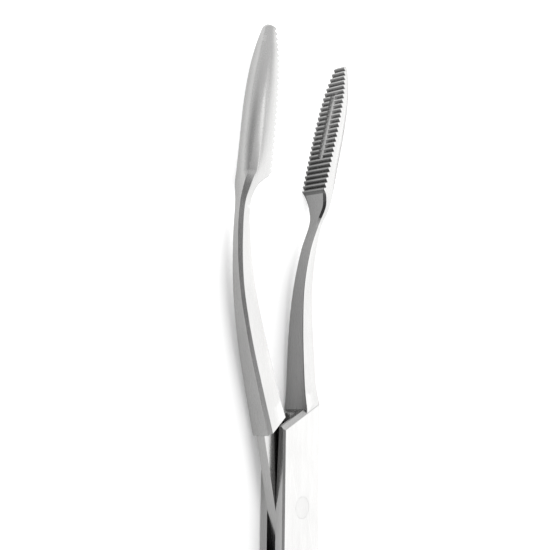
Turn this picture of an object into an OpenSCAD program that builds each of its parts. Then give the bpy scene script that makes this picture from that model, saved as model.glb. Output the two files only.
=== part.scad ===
// Long box-joint extraction forceps with serrated, grooved jaws that bend in the opening plane.
// Millimetres. The joint axis is Z through the origin, the underside of the joint lies on z = 0,
// and +X runs from the joint towards the jaw tips. Each half is drawn in its closed place, with its
// middle on z = 0, and is then raised and swung open.

/* [Opening] */
// Angle between the two halves as drawn, 0 when the jaws meet
open_angle = 14.2; // [0:0.1:30]

/* [Box joint] */
// Thickness of the joint, from face to face
box_t = 6.4; // [6:0.1:7]
// Width of the joint across both side faces
box_w = 12; // [11.6:0.1:12.6]
// Distance from the joint axis to the shoulder, on the centre line
shoulder_in = 19.2; // [18.5:0.1:20.5]
// Distance from the joint axis to the shoulder, at the side face
shoulder_out = 16.4; // [16:0.1:18]
// Thickness of the tongue that passes through the slot
tongue_t = 2.15; // [1.8:0.05:2.6]
// Height by which the slot mouth is eased under each cheek
mouth_relief = 0.9; // [0.2:0.1:1.1]
// Diameter of the joint pin
pin_d = 4.4; // [3.6:0.1:5]

/* [Jaws] */
// Angle by which the jaws bend in the opening plane
bend = 18; // [10:1:22]
// Distance along the centre line from the joint axis to the heel of the teeth
heel = 68.9; // [66:0.1:74]
// Number of teeth on each jaw
teeth = 26; // [16:1:28]
// Distance from one tooth to the next
pitch = 1.28; // [1:0.01:1.5]
// Depth of the teeth
tooth_h = 0.62; // [0.3:0.01:0.7]
// Half the width of each jaw where it is widest
jaw_w = 3.2; // [2.8:0.1:3.2]
// Half the width of the groove along the teeth
groove_w = 0.7; // [0.4:0.05:0.9]
// Depth of the groove below the tooth roots
groove_h = 0.45; // [0.1:0.05:0.8]

/* [Handles] */
// Distance from the joint axis to the far end of the finger rings
handle = 142; // [130:1:160]
// Diameter across a finger ring hole
ring_hole = 22; // [20:0.5:24]
// Extra length of a finger ring hole, which makes it oval
ring_long = 6; // [2:1:10]
// Width of the wire that a finger ring is made of
ring_wire = 4.4; // [3.6:0.1:5]

/* [Hidden] */

steel = [0.78, 0.78, 0.78];
fit_gap = 0.05;                       // clearance of each sliding face in the joint
mate_gap = 0.05;                      // what each jaw stays short of the other when closed
past = 1;                             // overrun of a cutter past the face that it cuts
half_w = box_w / 2;
side_step = 0.1;                      // what the shanks stay inside the side faces of the box
bore_fn = 96;
wire_fn = 32;

// Centre line: straight, then an arc, then straight again along the teeth
arc_r = 88;
arc_start = 33.5;
arc_len = arc_r * bend * PI / 180;
arc_end = arc_start + arc_len;
toothed = (teeth - 1) * pitch;        // from the first ridge to the last
tip = heel + toothed + 1.2;
female_tip = heel + toothed + 0.8;
start = shoulder_in + fit_gap;
rooted = 1.3;                         // how far the shanks run into the box of the slotted half

// The slanted shoulder runs from the centre line to the side face
lean = (shoulder_in - shoulder_out) / half_w;
slant_len = 9;                        // stretch of arm over which the slant fades out
function shoulder(y, gap = 0) = [shoulder_in - lean * y + gap, y];
function slant(x) = lean * min(max(1 - (x - start) / slant_len, 0), 1);

function turn(u) = bend * min(max((u - arc_start) / arc_len, 0), 1);
function centre(u) =
    let (a = turn(u), on = min(max(u, arc_start), arc_end), rest = max(u - arc_end, 0))
    [min(u, arc_start) + arc_r * sin(a) + rest * cos(a),
     -arc_r * (1 - cos(a)) - rest * sin(a)];

// Smooth curve through a list of [position, value] knots
function knot(k, i) = k[min(max(i, 0), len(k) - 1)];
function seat(k, u, i = 0) = (i >= len(k) - 2 || u < k[i + 1][0]) ? i : seat(k, u, i + 1);
function slope(k, i) =
    let (a = knot(k, i - 1), b = knot(k, i + 1)) (b[1] - a[1]) / (b[0] - a[0]);
function smooth(k, u) =
    u <= k[0][0] ? k[0][1] :
    u >= k[len(k) - 1][0] ? k[len(k) - 1][1] :
    let (i = seat(k, u), a = k[i], b = k[i + 1], w = b[0] - a[0], t = (u - a[0]) / w)
    (1 + 2 * t) * (1 - t) ^ 2 * a[1] + t * (1 - t) ^ 2 * w * slope(k, i)
    + t ^ 2 * (3 - 2 * t) * b[1] - t ^ 2 * (1 - t) * w * slope(k, i + 1);

// Distances from the centre line to the inner and outer faces of each half, and half thicknesses
root = tooth_h / 2 + mate_gap;
male_in = [[start, 0.4], [24, 1.1], [29, 1.5], [38, 2.3], [46.5, 3.25], [55.5, 4.1],
           [heel - 6.4, 4.3], [heel - 3.5, 3.7], [heel - 1.6, 2.1], [heel - 0.7, 1], [heel, 0.9],
           [heel + toothed / 2, 0.4], [tip, 0]];
male_out = [[start, half_w - side_step], [29, 6.65], [38, 7], [46.5, 7.35], [55.5, 7.4],
            [heel - 6.4, 7.2], [heel, 7.1], [heel + toothed / 4, 6.8], [heel + toothed / 2, 6.2],
            [heel + toothed * 0.75, 4.9], [heel + toothed, 2.7], [tip - 0.3, 1.9], [tip, 1.2]];
female_in = [[start, 1.3], [29, 1.1], [38, 1.15], [46.5, 1.25], [55.5, 1.9], [heel - 6.4, 2.65],
             [heel - 3.3, 2.4], [heel - 1.5, 1.3], [heel - 0.7, 0.6], [heel, 0.45],
             [heel + toothed / 2, 0.2], [female_tip, 0]];
female_out = [[start, half_w - side_step], [29, 5.7], [38, 5.2], [46.5, 4.75], [55.5, 4.8],
              [heel - 6.4, 4.9], [heel, 5.7], [heel + toothed / 4, 5.6], [heel + toothed / 2, 5.2],
              [heel + toothed * 0.75, 4.4], [heel + toothed, 2.7], [female_tip - 0.3, 2.3],
              [female_tip, 2]];
arm_w = [[start, 2.75], [29, 2.3], [38, 1.9], [46.5, 1.5], [55.5, 1.34], [heel - 6.9, 1.45],
         [heel - 2.9, 2.45], [heel, 3.05], [heel + toothed / 4, jaw_w], [heel + toothed / 2, jaw_w],
         [heel + toothed * 0.75, jaw_w - 0.4], [heel + toothed * 0.9, 2.05], [heel + toothed, 1.35],
         [female_tip, 1], [tip, 0.35]];
// How square the section is (2 is the round back of the jaw), the bevel of its inner edges,
// and the height of its side faces
squareness = [[start, 7], [45, 6], [58, 4], [heel, 2.2], [tip, 2]];
corner = [[start, 0.35], [60, 0.3], [heel, 0.06], [tip, 0.06]];
rim = [[start, 1.4], [58, 0.8], [heel, 0.7], [tip - 2, 0.7], [tip, 0.5]];

// Teeth as [position, height over the mating line]. Each valley lies half a pitch from its ridges,
// and the jaws are shifted by a quarter pitch each way, so that ridges close into valleys: the male
// jaw has one more valley at its heel and the female jaw one more at its tip.
shift = 0.25;
function toothing(side) =
    [for (i = [side > 0 ? -1 : 0 : 2 * teeth - (side > 0 ? 2 : 1)])
        [heel + (i / 2 + side * shift) * pitch, (i % 2 == 0 ? -1 : 1) * tooth_h / 2]];

// The male jaw ends in a thin lip and the female jaw in a nose that slopes back from its last tooth
male_end = [[tip - 0.4, 0], [tip, 0.3]];
female_end = [[female_tip - 0.2, 0.55], [female_tip, 0.9]];

// Share of its full depth that the groove has at a distance along the jaw
groove_from = heel + toothed * 0.28;
groove_to = heel + toothed * 0.76;
function groove(u) = min(max(min((u - groove_from) / pitch, (groove_to - u) / pitch), 0), 1);
foot = 0.6;                           // width of the groove's foot as a share of its mouth

// One section of an arm: [z, distance from the centre line] all round
back_steps = 10;
function section(u, inner, outer, w, sq, b, e, tooth) =
    let (v = inner + tooth, g = groove(u) * max(tooth_h / 2 + groove_h - tooth, 0),
         gw = min(groove_w, w / 2), low = inner + max(root, tooth) + e)
    concat(
        [[-w + b, v], [-gw, v], [-gw * foot, v + g], [gw * foot, v + g], [gw, v], [w - b, v],
         [w, v + b]],
        [for (i = [0 : back_steps]) let (a = 180 * i / back_steps, c = cos(a), s = sin(a))
            [w * sign(c) * abs(c) ^ (2 / sq), low + (outer - low) * max(s, 0) ^ (2 / sq)]],
        [[-w, v + b]]);

// The shank of the female half widens at its root until it is almost as thick as the box
flare = 0.35;
flare_len = 6;
function root_flare(side, u) = side > 0 ? 0 : flare * min(max(1 - (u - start) / flare_len, 0), 1) ^ 2;

// All sections of an arm, from the joint to the tip
shank_rings = 13;
shank_end = heel - 7.9;
neck_stations = [for (d = [6.4, 4.7, 3.5, 2.5, 1.6, 0.9]) [heel - d, 0]];
function arm_rings(side, inner, outer, from) =
    let (shank = [for (i = [0 : shank_rings]) [from + (shank_end - from) * i / shank_rings, 0]])
    [for (s = concat(shank, neck_stations, toothing(side), side > 0 ? male_end : female_end))
        let (u = s[0], a = turn(u), c = centre(u),
             w = smooth(arm_w, u) + root_flare(side, u),
             ring = section(u, smooth(inner, u) + mate_gap, smooth(outer, u), w,
                            smooth(squareness, u), smooth(corner, u), smooth(rim, u), s[1]))
        [for (p = ring) [c[0] + side * p[1] * sin(a) - slant(u) * p[1] * side,
                         c[1] + side * p[1] * cos(a), p[0]]]];

// Handle rods, drawn for the side y > 0 with distances along -X from the joint axis. They end
// inside the wire of their finger ring.
rod_end = handle - ring_long - ring_hole - 2;
rod_steps = 16;
rod_points = 14;
rod_square = 3.2;
rod_in = [[start, 0.4], [35, 1.2], [60, 2.3], [85, 3.1], [rod_end - 8, 4], [rod_end, 4.4]];
rod_out = [[start, half_w - side_step], [35, 5.7], [60, 6.5], [85, 7], [rod_end - 8, 7.8],
           [rod_end, 8.4]];
rod_w = [[start, 2.6], [35, 2.35], [60, 2.15], [85, 2.1], [rod_end, 2.4]];
function rod_rings(side, from) =
    [for (i = [0 : rod_steps])
        let (x = from + (rod_end - from) * i / rod_steps, near = smooth(rod_in, x),
             far = smooth(rod_out, x))
        [for (j = [0 : rod_points - 1])
            let (t = 360 * (j + 0.5) / rod_points,
                 y = (near + far) / 2
                     + (far - near) / 2 * sign(sin(t)) * abs(sin(t)) ^ (2 / rod_square))
            [-slant(x) * side * y - x, side * y,
             smooth(rod_w, x) * sign(cos(t)) * abs(cos(t)) ^ (2 / rod_square)]]];

// Closed skin over rings of equal count, with a fan over each end
function middle(ring) = [for (k = [0 : 2]) [for (p = ring) p[k]] * [for (p = ring) 1] / len(ring)];
module skin(rings, flip) {
    n = len(rings[0]);
    m = len(rings);
    first = n * m;
    faces = concat(
        [for (i = [0 : m - 2]) for (j = [0 : n - 1]) let (k = (j + 1) % n)
            each [[i * n + j, i * n + k, (i + 1) * n + k], [i * n + j, (i + 1) * n + k, (i + 1) * n + j]]],
        [for (j = [0 : n - 1]) let (k = (j + 1) % n)
            each [[first, k, j], [first + 1, (m - 1) * n + j, (m - 1) * n + k]]]);
    polyhedron(concat([for (r = rings) each r], [middle(rings[0]), middle(rings[m - 1])]),
               flip ? faces : [for (f = faces) [f[2], f[1], f[0]]]);
}

// Plan of the box: both slanted ends run on across the arm beside them
module box_plan() {
    polygon([shoulder(half_w), shoulder(-half_w), -shoulder(half_w), -shoulder(-half_w)]);
}

// Plan of the tongue: a disc that turns inside the slot, and a root that runs on into each shank
tongue_r = shoulder_in - 2.4;
tongue_half = half_w - 2 * fit_gap;
root_low = 0.2;                       // where the root starts beside the centre line
root_from = 5;                        // a place well inside the disc
root_deep = 2;                        // how far the root runs into the shank
module tongue_plan() {
    intersection() {
        circle(tongue_r, $fn = bore_fn);
        square([2 * tongue_r, 2 * tongue_half], center = true);
    }
    for (a = [0, 180]) rotate(a)
        polygon([[root_from, root_low], shoulder(root_low), shoulder(1, root_low),
                 shoulder(1.5, root_deep), shoulder(4.5, root_deep),
                 shoulder(tongue_half - 0.6, root_low), shoulder(tongue_half),
                 [root_from, tongue_half]]);
}

// Plan of the slot: room for the tongue at every opening angle
slot_gap = 0.3;
module slot_plan() {
    circle(tongue_r + slot_gap, $fn = bore_fn);
    for (a = [0, 180]) rotate(a)
        translate([0, root_low - fit_gap]) square([shoulder_in + 10, box_w + past]);
}

// Wedge that eases the slot mouth under one end of one cheek
module mouth_wedge() {
    z = tongue_t / 2 + fit_gap;
    wide = half_w * 0.6;
    out = shoulder_in + 2;
    lap = 0.1;
    rotate([90, 0, 0]) translate([0, 0, -half_w - past]) linear_extrude(wide)
        polygon([[1, z - lap], [1, z], [out, z + mouth_relief], [out, z - lap]]);
}

// Oval finger ring, as tall as the joint, of wire with round upper and lower edges
ring_apart = 0.4;                     // what each ring stays off the centre line when closed
module finger_ring(side) {
    mid_r = (ring_hole + ring_wire) / 2;
    r = ring_wire / 2;
    flat = box_t - ring_wire;
    translate([-handle + mid_r + r, side * (mid_r + r + ring_apart), 0]) {
        for (a = [0, 180]) translate([a == 0 ? ring_long : 0, 0, 0]) rotate(a - 90)
            rotate_extrude(angle = 180, $fn = bore_fn) translate([mid_r, 0]) {
                for (z = [-1, 1]) translate([0, z * flat / 2]) circle(r, $fn = wire_fn);
                square([ring_wire, flat], center = true);
            }
        for (y = [-mid_r, mid_r]) translate([0, y, 0]) {
            for (z = [-1, 1]) translate([0, 0, z * flat / 2]) rotate([0, 90, 0])
                cylinder(ring_long, r = r, $fn = wire_fn);
            translate([0, -r, -flat / 2]) cube([ring_long, ring_wire, flat]);
        }
    }
}

// The half with the slotted box: its jaw is on the side y < 0 and its handle on the side y > 0
module female_half() {
    color(steel) translate([0, 0, box_t / 2]) rotate(-open_angle / 2) {
        difference() {
            linear_extrude(box_t, center = true) box_plan();
            linear_extrude(tongue_t + 2 * fit_gap, center = true) slot_plan();
            for (a = [0, 180]) rotate(a) for (m = [0, 1]) mirror([0, 0, m]) mouth_wedge();
            cylinder(box_t + 2 * past, d = pin_d, center = true, $fn = bore_fn);
        }
        skin(arm_rings(-1, female_in, female_out, start - rooted), false);
        skin(rod_rings(1, start - rooted), false);
        finger_ring(1);
    }
}

// The half with the tongue: its jaw is on the side y > 0 and its handle on the side y < 0
module male_half() {
    color(steel) translate([0, 0, box_t / 2]) rotate(open_angle / 2) {
        difference() {
            linear_extrude(tongue_t, center = true) tongue_plan();
            cylinder(box_t, d = pin_d + 2 * fit_gap, center = true, $fn = bore_fn);
        }
        skin(arm_rings(1, male_in, male_out, start), true);
        skin(rod_rings(-1, start), true);
        finger_ring(-1);
    }
}

// The pin is a tight fit in both cheeks and ground flush with them
module joint_pin() {
    color(steel) cylinder(box_t, d = pin_d, $fn = bore_fn);
}

female_half();
male_half();
joint_pin();
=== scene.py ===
"""Extraction forceps: finish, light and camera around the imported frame."""
import math

import bmesh
import bpy
import numpy as np
from mathutils import Matrix, Vector


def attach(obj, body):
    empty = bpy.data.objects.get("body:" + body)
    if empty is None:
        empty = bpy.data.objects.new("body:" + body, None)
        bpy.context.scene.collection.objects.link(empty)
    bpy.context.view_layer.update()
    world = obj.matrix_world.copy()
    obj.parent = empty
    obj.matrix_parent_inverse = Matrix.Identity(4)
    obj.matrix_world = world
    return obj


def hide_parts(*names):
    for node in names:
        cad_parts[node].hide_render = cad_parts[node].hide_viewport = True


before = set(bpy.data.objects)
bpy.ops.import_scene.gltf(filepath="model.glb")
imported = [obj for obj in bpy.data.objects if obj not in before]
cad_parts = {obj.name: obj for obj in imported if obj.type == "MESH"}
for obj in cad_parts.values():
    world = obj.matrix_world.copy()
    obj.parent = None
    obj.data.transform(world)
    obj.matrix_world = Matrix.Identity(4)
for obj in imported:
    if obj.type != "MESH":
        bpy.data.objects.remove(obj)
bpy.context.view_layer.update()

MM = 0.001

# ---- Dimensions shared with the CAD source, in millimetres ----
REST_OPEN = 14.2            # angle between the halves at rest
BOX_T = 6.4                 # thickness of the joint
HALF_W = 6.0                # half the width of the joint
SHOULDER_IN = 19.2          # joint axis to shoulder on the centre line
SHOULDER_OUT = 16.4         # joint axis to shoulder at the side face
TONGUE_T = 2.15             # thickness of the tongue in the slot, and the radius of its disc
TONGUE_R = SHOULDER_IN - 2.4
SLOT_GAP = 0.3              # room round the disc
ROOT_LOW = 0.2              # where the tongue's root starts beside the centre line
MOUTH_RELIEF = 0.9          # height by which the slot mouth is eased under each cheek
PIN_R = 2.2
FIT = 0.05                  # clearance of each sliding face
BEND = math.radians(18)     # bend of the jaws in the opening plane
HEEL = 68.9                 # joint axis to the heel of the teeth
TEETH = 26
PITCH = 1.28
TOOTH_H = 0.62
JAW_W = 3.2                 # half the width of each jaw where it is widest
HANDLE = 142                # joint axis to the far end of the finger rings
RING_HOLE = 22
RING_LONG = 6               # extra length that makes the rings oval
RING_WIRE = 4.4
RING_APART = 0.4            # what each ring stays off the centre line when closed
ARC_R = 88                  # centre line of the arms: straight, an arc, straight again
ARC_START = 33.5
ARC_END = ARC_START + ARC_R * BEND
TOOTHED = (TEETH - 1) * PITCH
TIP = HEEL + TOOTHED + 1.2
FEMALE_TIP = HEEL + TOOTHED + 0.8
START = SHOULDER_IN + FIT
LEAN = (SHOULDER_IN - SHOULDER_OUT) / HALF_W
SLANT_LEN = 9               # stretch of arm over which the slant of the shoulder fades out
ROOTED = 1.3                # how far the shanks run into the box of the slotted half
SIDE_STEP = 0.1             # what shanks and rods stay inside the side faces of the box
ROD_STEP = 0.25
FLARE = 0.35                # widening of the female shank at its root, over FLARE_LEN
FLARE_LEN = 6
SIDE_BEVEL = 0.4            # bevels of the box along its sides and along its slanted ends
END_BEVEL = 0.85
ROOT = TOOTH_H / 2 + FIT
ROD_END = 112               # joint axis to the end of each handle rod, inside its ring

# ---- Smooth profiles along the arms: [distance from the joint axis, value] ----
MALE_IN = [[START, 0.4], [24, 1.1], [29, 1.5], [38, 2.3], [46.5, 3.25], [55.5, 4.1],
           [HEEL - 6.4, 4.3], [HEEL - 3.5, 3.7], [HEEL - 1.6, 2.1], [HEEL - 0.7, 1], [HEEL, 0.9],
           [HEEL + 16, 0.4], [TIP, 0]]
MALE_OUT = [[START, HALF_W - SIDE_STEP], [29, 6.65], [38, 7], [46.5, 7.35], [55.5, 7.4],
            [HEEL - 6.4, 7.2], [HEEL, 7.1], [HEEL + 8, 6.8], [HEEL + 16, 6.2],
            [HEEL + 24, 4.9], [HEEL + TOOTHED, 2.7], [TIP - 0.3, 1.9], [TIP, 1.2]]
FEMALE_IN = [[START, 1.3], [29, 1.1], [38, 1.15], [46.5, 1.25], [55.5, 1.9], [HEEL - 6.4, 2.65],
             [HEEL - 3.3, 2.4], [HEEL - 1.5, 1.3], [HEEL - 0.7, 0.6], [HEEL, 0.45],
             [HEEL + 16, 0.2], [FEMALE_TIP, 0]]
FEMALE_OUT = [[START, HALF_W - SIDE_STEP], [29, 5.7], [38, 5.2], [46.5, 4.75], [55.5, 4.8],
              [HEEL - 6.4, 4.9], [HEEL, 5.7], [HEEL + 8, 5.6], [HEEL + 16, 5.2],
              [HEEL + 24, 4.4], [HEEL + TOOTHED, 2.7], [FEMALE_TIP - 0.3, 2.3], [FEMALE_TIP, 2]]
ARM_W = [[START, 2.75], [29, 2.3], [38, 1.9], [46.5, 1.5], [55.5, 1.34], [HEEL - 6.9, 1.45],
         [HEEL - 2.9, 2.45], [HEEL, 3.05], [HEEL + 8, JAW_W], [HEEL + 16, JAW_W],
         [HEEL + 24, 2.8], [HEEL + 28.8, 2.05], [HEEL + TOOTHED, 1.35], [FEMALE_TIP, 1], [TIP, 0.35]]

# Bevels of the outer and inner edges, and how far the bevelled back has turned into a round one
OUTER_BEVEL = [[START, 0.78], [29, 0.65], [38, 0.6], [46.5, 0.62], [55.5, 0.74], [62, 0.78],
               [66, 1.2], [HEEL, 1.6], [HEEL + 8, 2]]
INNER_BEVEL = [[START, 0.15], [54, 0.15], [60, 0.4], [65.5, 0.5], [HEEL - 0.9, 0.5],
               [HEEL - 0.5, 0.07], [TIP, 0.06]]
ROUND_BACK = [[START, 0], [61, 0], [65, 0.15], [HEEL, 0.6], [HEEL + 5, 0.88], [HEEL + 12, 1],
              [TIP, 1]]

# Sections of the handle rods: inner and outer faces, half thickness and squareness
ROD_IN = [[START, 0.4], [35, 1.2], [60, 2.3], [85, 3.1], [104, 4], [ROD_END, 4.4]]
ROD_OUT = [[START, HALF_W - ROD_STEP], [35, 5.7], [60, 6.5], [85, 7], [104, 7.8], [ROD_END, 8.4]]
ROD_W = [[START, 2.6], [35, 2.35], [60, 2.15], [85, 2.1], [ROD_END, 2.4]]
ROD_SQUARE = [[START, 6], [45, 3.4], [70, 2.4], [ROD_END, 2.1]]


def smooth(knots, u):
    """Value at u of the smooth curve through the knots."""
    if u <= knots[0][0]:
        return knots[0][1]
    if u >= knots[-1][0]:
        return knots[-1][1]
    i = max(k for k in range(len(knots) - 1) if knots[k][0] <= u)

    def slope(k):
        a, b = knots[max(k - 1, 0)], knots[min(k + 1, len(knots) - 1)]
        return (b[1] - a[1]) / (b[0] - a[0])

    (ua, a), (ub, b) = knots[i], knots[i + 1]
    w = ub - ua
    t = (u - ua) / w
    return ((1 + 2 * t) * (1 - t) ** 2 * a + t * (1 - t) ** 2 * w * slope(i)
            + t * t * (3 - 2 * t) * b - t * t * (1 - t) * w * slope(i + 1))


def turn(u):
    """Direction of the centre line at u."""
    return BEND * min(max((u - ARC_START) / (ARC_R * BEND), 0), 1)


def centre(u):
    """Point of the centre line at u."""
    a = turn(u)
    rest = max(u - ARC_END, 0)
    return (min(u, ARC_START) + ARC_R * math.sin(a) + rest * math.cos(a),
            -ARC_R * (1 - math.cos(a)) - rest * math.sin(a))


def shoulder(y, gap=0.0):
    """Point of the slanted shoulder, which runs from the centre line to the side face."""
    return (SHOULDER_IN - LEAN * y + gap, y)


def slant(x):
    """Lean of the arm's sections, which fades out from the shoulder."""
    return LEAN * min(max(1 - (x - START) / SLANT_LEN, 0), 1)


# ---- Teeth and groove of a jaw, as a height over the mating line ----
SHIFT = 0.25                # shift of each jaw's teeth, in pitches
RIDGE = 0.2                 # share of a pitch that is the flat top of a ridge
VALLEY = 0.16               # share of a pitch that is the flat foot of a valley
NOSE_LEN = 0.45             # slope at the tip of the female jaw: its length and height
NOSE_H = 0.9
FADE = 0.2                  # run-out of the toothing at its ends, in pitches
RIM = 0.5                   # height of the side face between the tooth roots and the round back
GROOVE_R = 0.68             # half width of the groove along the teeth
GROOVE_DEEP = 0.42          # depth of the groove below the tooth roots
GROOVE_FROM = HEEL + 6.8 * PITCH
GROOVE_TO = HEEL + 18.6 * PITCH
GROOVE_SHARE = 0.6          # most of the half width of the face that the groove may take
NO_GROOVE = -9.0            # a height that never shows


def tooth(u, side):
    """Height of the toothed face at u: -TOOTH_H / 2 on a ridge and +TOOTH_H / 2 in a valley."""
    p = (u - HEEL) / PITCH - side * SHIFT
    first = -0.5 if side > 0 else 0
    last = TEETH - 1 if side > 0 else TEETH - 0.5
    fade = 1 - min(max(first - p - RIDGE / 2, p - last - RIDGE / 2, 0) / FADE, 1)
    p = min(max(p, first), last)
    d = abs(p - round(p))
    flank = (d - RIDGE / 2) / (0.5 - RIDGE / 2 - VALLEY / 2)
    height = TOOTH_H * (min(max(flank, 0), 1) - 0.5) * fade
    into_nose = (u - FEMALE_TIP) / NOSE_LEN + 1
    return max(height, NOSE_H * into_nose) if side < 0 and into_nose > 0 else height


def groove(u, z):
    """Height of the round-ended groove over the mating line."""
    du = max(GROOVE_FROM - u, u - GROOVE_TO, 0)
    inside = 1 - (du * du + z * z) / GROOVE_R ** 2
    if inside <= 0:
        return NO_GROOVE
    return -TOOTH_H / 2 + (TOOTH_H + GROOVE_DEEP) * math.sqrt(inside)


GROOVE_COLUMNS = [1.0, 0.97, 0.9, 0.78, 0.6, 0.4, 0.2]     # as shares of its half width
FACE_COLUMNS = 5            # columns between the groove and each edge of the face


def inner_columns(w, b):
    """z of the columns across the inner face, from -(w - b) to w - b."""
    g = min(GROOVE_R, (w - b) * GROOVE_SHARE)
    half = [g * c for c in GROOVE_COLUMNS]
    out = list(np.linspace(w - b, g, FACE_COLUMNS + 1)[:-1]) + half
    return [-z for z in out] + [0.0] + out[::-1]


def back_angles():
    """Angle on the round back that goes with each point of the bevelled back."""
    side = [0, 8, 20, 27]
    edge_a = [29, 30.5, 32]
    bevel = [34, 40, 46]
    edge_b = [48, 49.5, 51]
    flat = [54, 60, 68, 76, 84]
    half = side + edge_a + bevel + edge_b + flat
    return half + [90] + [180 - a for a in half[::-1]]


EDGE_R = 0.09               # reach of a rounded edge along each face, and its middle point as
EDGE_NEAR, EDGE_FAR = 0.12, 0.17    # shares of that
BEVEL_SHARES = (0.6, 0.35)  # most of the half width and of the depth that a bevel may take


def back_points(w, v_in, v_out, b):
    """Bevelled back: side wall, bevel, outer face, bevel, side wall, with small round edges."""
    r = EDGE_R
    top = v_out - b
    side = [(w, v_in + (top - r - v_in) * t) for t in (0, 0.35, 0.75, 0.97)]
    d = math.sqrt(0.5)
    edge_a = [(w, top - r), (w - r * EDGE_FAR, top + r * EDGE_NEAR), (w - r * d, top + r * d)]
    x0, y0, x1, y1 = w - r * d, top + r * d, w - b + r * d, v_out - r * d
    bevel = [(x0 + (x1 - x0) * t, y0 + (y1 - y0) * t) for t in (0.12, 0.5, 0.88)]
    edge_b = [(x1, y1), (w - b + r * EDGE_NEAR, v_out - r * EDGE_FAR), (w - b - r, v_out)]
    flat = [((w - b - r) * t, v_out) for t in (0.96, 0.8, 0.6, 0.4, 0.2)]
    half = side + edge_a + bevel + edge_b + flat
    return half + [(0.0, v_out)] + [(-z, v) for z, v in half[::-1]]


def arm_section(u, knots_in, knots_out, side):
    """Closed outline of an arm at u as [z, distance from the centre line]."""
    w = smooth(ARM_W, u)
    if side < 0:
        w += FLARE * min(max(1 - (u - START) / FLARE_LEN, 0), 1) ** 2
    base = smooth(knots_in, u) + FIT
    out = smooth(knots_out, u)
    bi, bo = smooth(INNER_BEVEL, u), smooth(OUTER_BEVEL, u)
    if side < 0:
        bo *= min(max(0.5 + (u - START) / FLARE_LEN / 2, 0.5), 1)
    m = smooth(ROUND_BACK, u)
    cut = tooth(u, side)
    face = [(z, base + max(cut, groove(u, z))) for z in inner_columns(w, bi)]
    rim = base + max(ROOT, cut) + RIM * min(1, w / 2)
    v_side = base + max(cut, -TOOTH_H / 2) + bi
    most = min(w * BEVEL_SHARES[0], (out - base) * BEVEL_SHARES[1])
    bevelled = back_points(w, base + bi, out, min(bo, most))
    pts = []
    for (z, v), a in zip(bevelled, back_angles()):
        a = math.radians(a)
        ez, ev = w * math.cos(a), rim + (out - rim) * math.sin(a)
        pts.append((z + (ez - z) * m, v + (ev - v) * m))
    return face + [(w, v_side)] + pts + [(-w, v_side)]


def loft(rings, name):
    """Closed mesh over rings of equal count, in millimetres."""
    n, m = len(rings[0]), len(rings)
    verts = [p for ring in rings for p in ring]
    verts += [tuple(np.mean(rings[0], axis=0)), tuple(np.mean(rings[-1], axis=0))]
    first = n * m
    faces = []
    for i in range(m - 1):
        for j in range(n):
            k = (j + 1) % n
            faces.append((i * n + j, i * n + k, (i + 1) * n + k, (i + 1) * n + j))
    for j in range(n):
        k = (j + 1) % n
        faces.append((first, k, j))
        faces.append((first + 1, (m - 1) * n + j, (m - 1) * n + k))
    return new_object(name, verts, faces)


def new_object(name, verts, faces):
    """Object of the given points and faces, with its normals turned outwards."""
    mesh = bpy.data.meshes.new(name)
    mesh.from_pydata([tuple(float(c) for c in v) for v in verts], [], faces)
    mesh.validate()
    bm = bmesh.new()
    bm.from_mesh(mesh)
    bmesh.ops.recalc_face_normals(bm, faces=bm.faces)
    bm.to_mesh(mesh)
    bm.free()
    obj = bpy.data.objects.new(name, mesh)
    bpy.context.scene.collection.objects.link(obj)
    return obj


SHANK_END = 60              # where the shank turns into the neck, and the sections of each
SHANK_ROWS, NECK_ROWS = 56, 28
MALE_LIP = (0.38, 0.25, 0.14, 0.06, 0)      # sections of each tip, back from its end
FEMALE_NOSE = (0.1, 0)


def arm_stations(start, side):
    """Distances of the sections of an arm: dense at the teeth, with one at each edge of a tooth."""
    shank = list(np.linspace(start, SHANK_END, SHANK_ROWS))
    neck = list(np.linspace(SHANK_END, HEEL - 1.0, NECK_ROWS))[1:]
    zero = HEEL + side * SHIFT * PITCH
    marks = [i + e for i in range(-1, TEETH + 1)
             for e in (-RIDGE / 2, RIDGE / 2, 0.5 - VALLEY / 2, 0.5, 0.5 + VALLEY / 2, 0, 0.25, 0.75)]
    first = (-0.5 if side > 0 else 0) - RIDGE / 2
    last = (TEETH - 1 if side > 0 else TEETH - 0.5) + RIDGE / 2
    toothed = [first - FADE] + [m for m in marks if first <= m <= last] + [last + FADE]
    tip = TIP if side > 0 else FEMALE_TIP
    ends = [tip - back for back in (MALE_LIP if side > 0 else FEMALE_NOSE)]
    return sorted(shank + neck + [zero + m * PITCH for m in toothed] + ends)


def arm(side, knots_in, knots_out, start, name):
    """Shank and jaw of one half, from the joint to the tip."""
    rings = []
    for u in arm_stations(start, side):
        a, (cx, cy) = turn(u), centre(u)
        ring = arm_section(u, knots_in, knots_out, side)
        rings.append([(cx + side * v * math.sin(a) - slant(u) * v * side,
                       cy + side * v * math.cos(a), z) for z, v in ring])
    return loft(rings, name)


def rod(side, start, name):
    """Handle rod from the shoulder to its finger ring."""
    count, rows = 40, 70
    rings = []
    for x in np.linspace(start, ROD_END, rows):
        a, b, w, n = smooth(ROD_IN, x), smooth(ROD_OUT, x), smooth(ROD_W, x), smooth(ROD_SQUARE, x)
        ring = []
        for j in range(count):
            t = 2 * math.pi * (j + 0.5) / count
            s, c = math.sin(t), math.cos(t)
            y = (a + b) / 2 + (b - a) / 2 * math.copysign(abs(s) ** (2 / n), s)
            ring.append((-slant(x) * side * y - x, side * y, w * math.copysign(abs(c) ** (2 / n), c)))
        rings.append(ring)
    return loft(rings, name)


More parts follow.
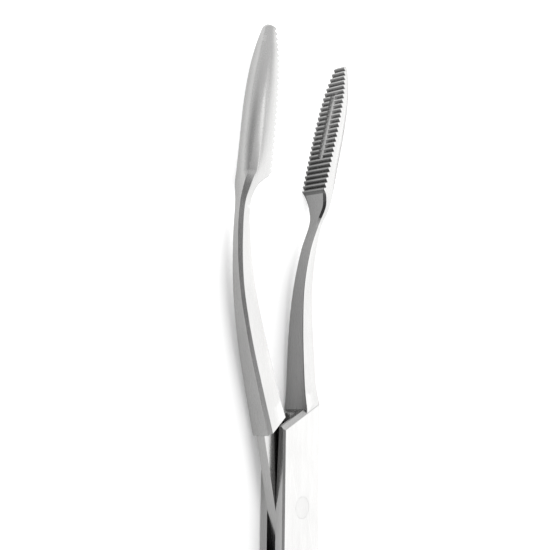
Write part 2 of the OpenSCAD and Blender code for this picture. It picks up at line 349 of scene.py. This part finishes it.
def finger_ring(side, name):
    """Oval finger ring of thick wire, with a section slightly squarer than a round one."""
    mid_r = (RING_HOLE + RING_WIRE) / 2
    cx = -HANDLE + mid_r + RING_WIRE / 2 + RING_LONG / 2
    cy = side * (mid_r + RING_WIRE / 2 + RING_APART)
    a, b = mid_r + RING_LONG / 2, mid_r
    around, wire = 120, 28
    square_d, square_h = 0.85, 0.95     # below 1, the wire's section is squarer than round
    verts, faces = [], []
    for i in range(around):
        t = 2 * math.pi * i / around
        px, py = a * math.cos(t), b * math.sin(t)
        n = Vector((b * math.cos(t), a * math.sin(t), 0)).normalized()
        for j in range(wire):
            s = 2 * math.pi * j / wire
            d = RING_WIRE / 2 * math.copysign(abs(math.cos(s)) ** square_d, math.cos(s))
            h = BOX_T / 2 * math.copysign(abs(math.sin(s)) ** square_h, math.sin(s))
            verts.append((cx + px + n.x * d, cy + py + n.y * d, h))
    for i in range(around):
        for j in range(wire):
            k, m = (i + 1) % around, (j + 1) % wire
            faces.append((i * wire + j, k * wire + j, k * wire + m, i * wire + m))
    return new_object(name, verts, faces)


def prism(outline, low, high, name, bevels=()):
    """Upright prism over a plan outline. Each bevel is a width and the sides of the outline that
    have it at their top and bottom edges."""
    n = len(outline)
    verts = [(x, y, low) for x, y in outline] + [(x, y, high) for x, y in outline]
    faces = [tuple(range(n)), tuple(range(2 * n - 1, n - 1, -1))]
    faces += [(i, (i + 1) % n, n + (i + 1) % n, n + i) for i in range(n)]
    obj = new_object(name, verts, faces)
    bm = bmesh.new()
    bm.from_mesh(obj.data)
    for width, sides in bevels:
        edges = []
        for i in sides:
            p, q = Vector(outline[i]), Vector(outline[(i + 1) % n])
            way = (q - p).normalized()
            for e in bm.edges:
                ends = [v.co.to_2d() - p for v in e.verts]
                level = abs(e.verts[0].co.z - e.verts[1].co.z) < 1e-6
                if level and all(abs(way.cross(d)) < 1e-4 for d in ends):
                    edges.append(e)
        bmesh.ops.bevel(bm, geom=edges, offset=width, segments=1, affect="EDGES", clamp_overlap=True)
    bm.to_mesh(obj.data)
    bm.free()
    return obj


def arc(radius, start, end, count):
    """Points of an arc between two angles in degrees."""
    return [(radius * math.cos(math.radians(start + (end - start) * i / count)),
             radius * math.sin(math.radians(start + (end - start) * i / count)))
            for i in range(count + 1)]


def turned(points):
    """The points turned half round the joint axis."""
    return [(-x, -y) for x, y in points]


def cut_or_join(obj, other, operation):
    """Boolean of obj with other, which is used up."""
    m = obj.modifiers.new("boolean", "BOOLEAN")
    m.operation, m.solver, m.object = operation, "MANIFOLD", other
    graph = bpy.context.evaluated_depsgraph_get()
    graph.update()
    mesh = bpy.data.meshes.new_from_object(obj.evaluated_get(graph))
    obj.modifiers.clear()
    old = obj.data
    obj.data = mesh
    bpy.data.meshes.remove(old)
    bpy.data.objects.remove(other)
    return obj


def cylinder(radius, low, high, name, count=128):
    """Upright cylinder on the joint axis."""
    return prism(arc(radius, 0, 360, count)[:-1], low, high, name)


def mouth_cutter(front, up, name):
    """Wedge that eases the slot mouth: it rises towards the shoulder on the open side."""
    z = TONGUE_T / 2 + FIT
    near, far, lap = 1.0, SHOULDER_IN + 3, 0.15
    s = 1 if front else -1
    y0, y1 = (HALF_W * 0.4 - 1) * s, (HALF_W + 1) * s
    profile = [(near, z - lap), (near, z), (far, z + MOUTH_RELIEF), (far, z - lap)]
    verts = [(x * s, y, h * up) for y in (y0, y1) for x, h in profile]
    faces = [(0, 1, 2, 3), (7, 6, 5, 4)] + [(i, (i + 1) % 4, 4 + (i + 1) % 4, 4 + i) for i in range(4)]
    return new_object(name, verts, faces)


def female_shape():
    """The half with the slotted box."""
    corners = [shoulder(HALF_W), shoulder(-HALF_W)]
    box = prism(corners + turned(corners), -BOX_T / 2, BOX_T / 2, "female_half_visual",
                bevels=[(END_BEVEL, (0, 2)), (SIDE_BEVEL, (1, 3))])
    slot_z = TONGUE_T / 2 + FIT
    cut_or_join(box, cylinder(TONGUE_R + SLOT_GAP, -slot_z, slot_z, "slot"), "DIFFERENCE")
    low, reach_x, reach_y = ROOT_LOW - FIT, 30, 20
    front = [(0, low), (reach_x, low), (reach_x, reach_y), (0, reach_y)]
    for points in (front, turned(front)):
        cut_or_join(box, prism(points, -slot_z, slot_z, "slot_end"), "DIFFERENCE")
    for is_front in (True, False):
        for up in (1, -1):
            cut_or_join(box, mouth_cutter(is_front, up, "mouth"), "DIFFERENCE")
    cut_or_join(box, cylinder(PIN_R, -BOX_T, BOX_T, "bore"), "DIFFERENCE")
    cut_or_join(box, arm(-1, FEMALE_IN, FEMALE_OUT, START - ROOTED, "arm"), "UNION")
    handle = cut_or_join(rod(1, START - ROOTED, "rod"), finger_ring(1, "ring"), "UNION")
    cut_or_join(box, handle, "UNION")
    return box


def tongue_outline():
    """Plan of the tongue: a disc, and a root that runs on into each shank."""
    half = HALF_W - 2 * FIT
    edge = math.degrees(math.asin(half / TONGUE_R))
    low = math.degrees(math.asin(ROOT_LOW / TONGUE_R))
    root_deep = 2
    front = arc(TONGUE_R, -edge, low, 24) + [
        shoulder(ROOT_LOW), shoulder(1, ROOT_LOW), shoulder(1.5, root_deep),
        shoulder(4.5, root_deep), shoulder(half - 0.6, ROOT_LOW), shoulder(half)]
    return front + turned(front)


def male_shape():
    """The half with the tongue."""
    tongue = prism(tongue_outline(), -TONGUE_T / 2, TONGUE_T / 2, "male_half_visual")
    cut_or_join(tongue, cylinder(PIN_R + FIT, -BOX_T, BOX_T, "bore"), "DIFFERENCE")
    cut_or_join(tongue, arm(1, MALE_IN, MALE_OUT, START, "arm"), "UNION")
    handle = cut_or_join(rod(-1, START, "rod"), finger_ring(-1, "ring"), "UNION")
    cut_or_join(tongue, handle, "UNION")
    return tongue


def pin_shape():
    """Pin ground flush, with a hair of chamfer so that its outline can just be seen."""
    clear, chamfer, sides = 0.006, 0.03, 128
    outline = arc(PIN_R - clear, 0, 360, sides)[:-1]
    return prism(outline, -BOX_T / 2, BOX_T / 2, "joint_pin_visual", bevels=[(chamfer, range(sides))])


def flow(co):
    """Coordinates that follow the metal: along the arm, across it and up, in millimetres."""
    x, y = co[:, 0], co[:, 1]
    a = np.clip(np.arctan2(x - ARC_START, ARC_R + y), 0, BEND)
    straight = x <= ARC_START
    end_x, end_y = centre(ARC_END)
    dx, dy = x - end_x, y - end_y
    along = np.where(straight, x, ARC_START + a * ARC_R)
    across = np.where(straight, y, np.hypot(x - ARC_START, ARC_R + y) - ARC_R)
    c, s = math.cos(BEND), math.sin(BEND)
    past = dx * c - dy * s > 0
    along = np.where(past, ARC_END + dx * c - dy * s, along)
    across = np.where(past, dx * s + dy * c, across)
    return np.stack([along, across, co[:, 2]], axis=1)


# Painted shade and reflection: brightness of the metal, as a share of that of open metal
UNSHADED = 1.0
TIP_FLANK_SHADE = 0.8             # painted shade of tooth flanks that face the tip, of valleys, and of the other flanks, where shadow falls between the teeth
VALLEY_SHADE = 0.55
HEEL_FLANK_SHADE = 0.5
PAINTED_HEEL_SHADE = 0.62              # painted shade towards the heel, where the teeth reflect the dark shank: what they keep of their brightness at the heel, and the teeth over which that fades
HEEL_SHADE_TEETH = 16
INNER_FACE_SHADE = 0.72           # painted dark reflection on the faces of the shanks that face each other
NECK_BEVEL_SHADE = 0.2            # painted dark reflection on their bevels beside the heel, over NECK_LEN
NECK_LEN = 6
SLOT_SHADE = 0.08               # painted shade inside the slot

# How those places are told apart, in millimetres unless it says otherwise
HEEL_EDGE = 0.9             # pitches before the first tooth that still count as toothing
NEAR_FACE = 0.12            # how far a face of the toothing may be from its ridges and valleys
SIDE_CLEAR = 0.07           # what it stays inside the jaw's side faces
BACK_CLEAR = 2              # and from the round back
IN_GROOVE = 0.97            # share of the groove's radius that is surely groove
INWARD = 0.5                # cosine from which a face looks inwards, and up to which it is a bevel
INWARD_BEVEL = 0.87
LEANING = 0.4               # part of its normal that makes a face lean
SLOT_MARGIN = 0.1           # room taken round the slot, and round its upper, lower and side faces
FACE_MARGIN = 0.02


def tooth_shade(u, v, z, normal, side):
    """Painted shade of a face of the toothing: darker on flanks and in valleys, where shadow falls, or
    None away from it.
    """
    height = v - smooth(MALE_IN if side > 0 else FEMALE_IN, u) - FIT
    in_groove = math.hypot(max(GROOVE_FROM - u, u - GROOVE_TO, 0), z) < GROOVE_R * IN_GROOVE
    p = (u - HEEL) / PITCH - side * SHIFT
    if abs(height) >= TOOTH_H / 2 + NEAR_FACE or in_groove or not -HEEL_EDGE < p < TEETH:
        return None
    # painted shade, deeper towards the heel, where the teeth reflect the dark shank
    heel_shading = PAINTED_HEEL_SHADE + (1 - PAINTED_HEEL_SHADE) * min(max(p / HEEL_SHADE_TEETH, 0), 1)
    if abs(p - round(p)) < RIDGE / 2 and height < 0:
        return UNSHADED * heel_shading
    # painted shade: valleys and flanks darker than the ridge tops
    if abs(normal.x) < LEANING:
        return VALLEY_SHADE * heel_shading
    return (TIP_FLANK_SHADE if normal.x > 0 else HEEL_FLANK_SHADE) * heel_shading


def shade(side, place, normal):
    """Painted shade of the metal of one face: darker between teeth, on inner faces and in the slot,
    where shadow and dark reflections fall.
    """
    x, y, z = place
    u, v = flow(np.array([place]))[0][:2]
    v *= side
    across = abs(z) < smooth(ARM_W, u) - SIDE_CLEAR and v < smooth(MALE_IN, HEEL) + BACK_CLEAR
    if u > HEEL - 1 and across:
        toothing = tooth_shade(u, v, z, normal, side)
        if toothing is not None:
            return toothing
    inward = -side * (normal.x * math.sin(turn(u)) + normal.y * math.cos(turn(u)))
    # painted dark reflection on the inner faces, darker still on their bevels beside the heel
    if START < u < HEEL and inward > INWARD:
        bevel = inward < INWARD_BEVEL and abs(normal.z) > LEANING
        return NECK_BEVEL_SHADE if bevel and u > HEEL - NECK_LEN else INNER_FACE_SHADE
    # painted shade inside the slot of the slotted half
    in_plan = math.hypot(x, y) < TONGUE_R + SLOT_GAP + SLOT_MARGIN and abs(y) < HALF_W - FACE_MARGIN
    in_height = abs(z) < TONGUE_T / 2 + FIT + FACE_MARGIN
    return SLOT_SHADE if side < 0 and in_plan and in_height else UNSHADED


SHARP = 24                  # angle in degrees at which an edge is drawn sharp


def settle(obj, angle, body, node, material):
    """Writes the mesh attributes, swings the half open, scales it and hands it to the frame."""
    mesh = obj.data
    co = np.zeros(len(mesh.vertices) * 3)
    mesh.vertices.foreach_get("co", co)
    attribute = mesh.attributes.new("flow", "FLOAT_VECTOR", "POINT")
    attribute.data.foreach_set("vector", flow(co.reshape(-1, 3)).astype(np.float32).ravel())
    side = {"female_half": -1, "male_half": 1}.get(node, 0)
    # painted shade of each face, kept as a face attribute
    shades = [shade(side, f.center, f.normal) if side else UNSHADED for f in mesh.polygons]
    mesh.attributes.new("shade", "FLOAT", "FACE").data.foreach_set("value", shades)
    swing = Matrix.Rotation(math.radians(angle), 4, "Z")
    mesh.transform(Matrix.Scale(MM, 4) @ Matrix.Translation((0, 0, BOX_T / 2)) @ swing)
    mesh.shade_smooth()
    mesh.set_sharp_from_angle(angle=math.radians(SHARP))
    mesh.materials.clear()
    mesh.materials.append(material)
    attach(obj, body)
    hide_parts(node)


# ---- Materials ----
STEEL = 0.32                # reflectance, and roughness
STEEL_ROUGH = 0.25
TINT = (1.0, 0.997, 0.99)
# Texture of the metal as noise: scale along and across the arm per millimetre, detail, roughness
BRUSH = (0.35, 14.0, 4.0, 0.7)
FINE = (1.1, 42.0, 2.0, 0.6)
CLOUD = (0.12, 0.35, 3.0, 0.5)
WIPE = (0.05, 1.4, 2.0, 0.5)
STREAKS = (-0.05, 0.04)     # change of brightness in the brushed streaks, and in the haze
HAZE = (0.965, 1.025)
WORN = (1.0, 1.12, 0.52, 0.6)   # brightness of worn edges, and the pointiness from and to which it rises
ROUGH_STREAKS = (0.86, 1.16)    # change of roughness in the streaks, the wiped patches and scratches
ROUGH_WIPE = (-0.03, 0.04)
ROUGH_FINE = (-0.015, 0.015)
ANISOTROPY = 0.35
BUMP = 0.10                 # strength of the streaks' relief, and its depth in metres
BUMP_DEPTH = 0.00002


def set_range(map_range, from_min, from_max, to_min, to_max):
    """Fills in the four values of a map range node."""
    values = (("From Min", from_min), ("From Max", from_max), ("To Min", to_min), ("To Max", to_max))
    for key, value in values:
        map_range.inputs[key].default_value = value


def brushed_steel(name, grain=1.0):
    """Satin stainless steel, brushed lengthwise, with faint streaks, haze and fine scratches."""
    material = bpy.data.materials.new(name)
    material.use_nodes = True
    tree = material.node_tree
    tree.nodes.clear()
    link = tree.links.new
    out = tree.nodes.new("ShaderNodeOutputMaterial")
    bsdf = tree.nodes.new("ShaderNodeBsdfPrincipled")
    link(bsdf.outputs[0], out.inputs[0])
    at = tree.nodes.new("ShaderNodeAttribute")
    at.attribute_name = "flow"

    def noise(scale_along, scale_across, detail, roughness):
        mapping = tree.nodes.new("ShaderNodeMapping")
        mapping.inputs["Scale"].default_value = (scale_along, scale_across, scale_across)
        link(at.outputs["Vector"], mapping.inputs["Vector"])
        n = tree.nodes.new("ShaderNodeTexNoise")
        n.inputs["Scale"].default_value = 1.0
        n.inputs["Detail"].default_value = detail
        n.inputs["Roughness"].default_value = roughness
        link(mapping.outputs[0], n.inputs["Vector"])
        return n.outputs["Fac"]

    def ramp(value, low, high, from_min=0.3, from_max=0.7):
        r = tree.nodes.new("ShaderNodeMapRange")
        set_range(r, from_min, from_max, low, high)
        link(value, r.inputs["Value"])
        return r.outputs[0]

    def math_node(op, a, b):
        n = tree.nodes.new("ShaderNodeMath")
        n.operation = op
        for i, v in enumerate((a, b)):
            if isinstance(v, (int, float)):
                n.inputs[i].default_value = v
            else:
                link(v, n.inputs[i])
        return n.outputs[0]

    brush, fine, cloud, wipe = noise(*BRUSH), noise(*FINE), noise(*CLOUD), noise(*WIPE)
    streaks = ramp(brush, *(1 + change * grain for change in STREAKS))
    tone = math_node("MULTIPLY", streaks, ramp(cloud, *HAZE))
    # painted shade from the face attribute darkens the metal
    painted_shade_node = tree.nodes.new("ShaderNodeAttribute")
    painted_shade_node.attribute_name = "shade"
    edge = tree.nodes.new("ShaderNodeNewGeometry")
    wear = ramp(edge.outputs["Pointiness"], *WORN)
    tone = math_node("MULTIPLY", math_node("MULTIPLY", tone, wear), painted_shade_node.outputs["Fac"])
    colour = tree.nodes.new("ShaderNodeCombineColor")
    for i, k in enumerate(TINT):
        link(math_node("MULTIPLY", tone, STEEL * k), colour.inputs[i])
    link(colour.outputs[0], bsdf.inputs["Base Color"])
    bsdf.inputs["Metallic"].default_value = 1.0
    rough = ramp(brush, *(STEEL_ROUGH * change for change in ROUGH_STREAKS))
    rough = math_node("ADD", rough, ramp(wipe, *ROUGH_WIPE))
    link(math_node("ADD", rough, ramp(fine, *ROUGH_FINE)), bsdf.inputs["Roughness"])
    bsdf.inputs["Anisotropic"].default_value = ANISOTROPY
    bump = tree.nodes.new("ShaderNodeBump")
    bump.inputs["Strength"].default_value = BUMP * grain
    bump.inputs["Distance"].default_value = BUMP_DEPTH
    link(math_node("ADD", brush, math_node("MULTIPLY", fine, 0.5)), bump.inputs["Height"])
    link(bump.outputs[0], bsdf.inputs["Normal"])
    return material


steel = brushed_steel("satin_steel")
pin_steel = brushed_steel("pin_steel", grain=0.6)

settle(female_shape(), -REST_OPEN / 2, "female", "female_half", steel)
settle(male_shape(), REST_OPEN / 2, "male", "male_half", steel)
settle(pin_shape(), 0, "female", "joint_pin", pin_steel)


# ---- Floor, light and camera ----
FLOOR_SIZE, FLOOR_STEPS = 1.2, 12   # half its side in metres, and its rows of faces
FLOOR_DROP = 0.00002            # what it stays below the object
FLOOR_TONE, FLOOR_ROUGH, FLOOR_SHINE = 0.7, 0.7, 0.1
FLOOR_GLOW = 0.25               # painted glow of the whole floor, which keeps the shadows soft
JAW_GLOW = 0.75                 # and stronger under the jaws, where it paints out their shadow
GLOW_FROM, GLOW_TO = 0.044, 0.078   # where along X it rises, in metres
SKY = 1.45                      # studio walls
FAR = 2.0                       # how much brighter the wall behind the object is
FAR_WAY = (0, -0.85, 0.5)       # towards it, and the cosines at which it starts and is full
FAR_FROM, FAR_TO = 0.75, 0.97
LOW = 0.12                      # brightness of the foot of that wall as a share of the walls'
LOW_WAY = (0, -0.966, -0.259)
LOW_FROM, LOW_TO = 0.89, 0.96
DIM = 0.32                      # brightness of the dim corner with the camera as such a share
DIM_WAY = (0.1, 0.7, 0.68)
DIM_FROM, DIM_TO = 0.78, 0.98
LAMP = 0.6                      # watts of the soft light overhead, its size, place and aim in metres
LAMP_SIZE = (0.6, 0.12)
LAMP_PLACE = (0.13, -0.13, 0.7)
LAMP_AIM = (0.08, 0, 0)
CAMERA_PLACE = (40.8, 154.6, 126.7 + BOX_T / 2)     # in millimetres
ELEVATION, YAW, ROLL = 39.3, -2.6, -5.4             # in degrees
LENS, SENSOR = 63, 36


def floor():
    """Pale table with a painted glow, a little everywhere and more under the jaws, which lightens its
    shadows.
    """
    size, steps = FLOOR_SIZE, FLOOR_STEPS
    verts = [(-size + 2 * size * i / steps, -size + 2 * size * j / steps, -FLOOR_DROP)
             for i in range(steps + 1) for j in range(steps + 1)]
    faces = [(i * (steps + 1) + j, (i + 1) * (steps + 1) + j, (i + 1) * (steps + 1) + j + 1,
              i * (steps + 1) + j + 1) for i in range(steps) for j in range(steps)]
    mesh = bpy.data.meshes.new("floor")
    mesh.from_pydata(verts, [], faces)
    obj = bpy.data.objects.new("floor", mesh)
    bpy.context.scene.collection.objects.link(obj)
    material = bpy.data.materials.new("floor_paper")
    material.use_nodes = True
    tree = material.node_tree
    bsdf = tree.nodes["Principled BSDF"]
    bsdf.inputs["Base Color"].default_value = (FLOOR_TONE, FLOOR_TONE, FLOOR_TONE, 1)
    bsdf.inputs["Roughness"].default_value = FLOOR_ROUGH
    bsdf.inputs["Specular IOR Level"].default_value = FLOOR_SHINE
    bsdf.inputs["Emission Color"].default_value = (1, 1, 1, 1)
    place = tree.nodes.new("ShaderNodeNewGeometry")
    split = tree.nodes.new("ShaderNodeSeparateXYZ")
    tree.links.new(place.outputs["Position"], split.inputs[0])
    glow = tree.nodes.new("ShaderNodeMapRange")
    glow.interpolation_type = "SMOOTHSTEP"
    set_range(glow, GLOW_FROM, GLOW_TO, FLOOR_GLOW, JAW_GLOW)
    tree.links.new(split.outputs["X"], glow.inputs["Value"])
    tree.links.new(glow.outputs[0], bsdf.inputs["Emission Strength"])
    mesh.materials.append(material)


def lamp():
    """Long soft light overhead, which draws the highlight along the back of the jaw."""
    data = bpy.data.lights.new("overhead", "AREA")
    data.shape = "RECTANGLE"
    data.size, data.size_y = LAMP_SIZE
    data.energy = LAMP
    obj = bpy.data.objects.new("overhead", data)
    obj.location = LAMP_PLACE
    aim = Vector(LAMP_AIM) - Vector(LAMP_PLACE)
    obj.rotation_euler = aim.to_track_quat("-Z", "Y").to_euler()
    bpy.context.scene.collection.objects.link(obj)


def sky():
    """Pale walls, bright behind the object but for their foot, and dim at the camera."""
    world = bpy.data.worlds.new("studio")
    bpy.context.scene.world = world
    world.use_nodes = True
    tree = world.node_tree
    link = tree.links.new
    background = tree.nodes["Background"]
    coords = tree.nodes.new("ShaderNodeTexCoord")

    def level(way, start, full, low, high):
        """Value that rises from low to high towards one direction."""
        toward = tree.nodes.new("ShaderNodeVectorMath")
        toward.operation = "DOT_PRODUCT"
        toward.inputs[1].default_value = Vector(way).normalized()
        link(coords.outputs["Generated"], toward.inputs[0])
        ramp = tree.nodes.new("ShaderNodeMapRange")
        ramp.interpolation_type = "SMOOTHSTEP"
        set_range(ramp, start, full, low, high)
        link(toward.outputs["Value"], ramp.inputs["Value"])
        return ramp.outputs[0]

    total = level(FAR_WAY, FAR_FROM, FAR_TO, SKY, SKY * FAR)
    for part in (level(DIM_WAY, DIM_FROM, DIM_TO, 1, DIM), level(LOW_WAY, LOW_FROM, LOW_TO, 1, LOW)):
        product = tree.nodes.new("ShaderNodeMath")
        product.operation = "MULTIPLY"
        link(total, product.inputs[0])
        link(part, product.inputs[1])
        total = product.outputs[0]
    link(total, background.inputs[0])
    background.inputs[1].default_value = 1.0


def camera():
    """The view: near side, a long way above the table, with the jaws towards the top of the frame."""
    elevation, yaw, roll = (math.radians(a) for a in (ELEVATION, YAW, ROLL))
    place = Vector(CAMERA_PLACE) * MM
    back = Vector((math.sin(yaw) * math.cos(elevation), math.cos(yaw) * math.cos(elevation),
                   math.sin(elevation)))
    up = Vector((0, 0, 1))
    right = (up - back * back.dot(up)).normalized()
    over = back.cross(right)
    x = right * math.cos(roll) + over * math.sin(roll)
    y = over * math.cos(roll) - right * math.sin(roll)
    data = bpy.data.cameras.new("camera")
    data.sensor_width = SENSOR
    data.lens = LENS
    data.clip_start = 0.005
    obj = bpy.data.objects.new("camera", data)
    matrix = Matrix((x, y, back)).transposed().to_4x4()
    matrix.translation = place
    obj.matrix_world = matrix
    bpy.context.scene.collection.objects.link(obj)
    bpy.context.scene.camera = obj


floor()
sky()
lamp()
camera()
bpy.context.scene.view_settings.view_transform = "Standard"
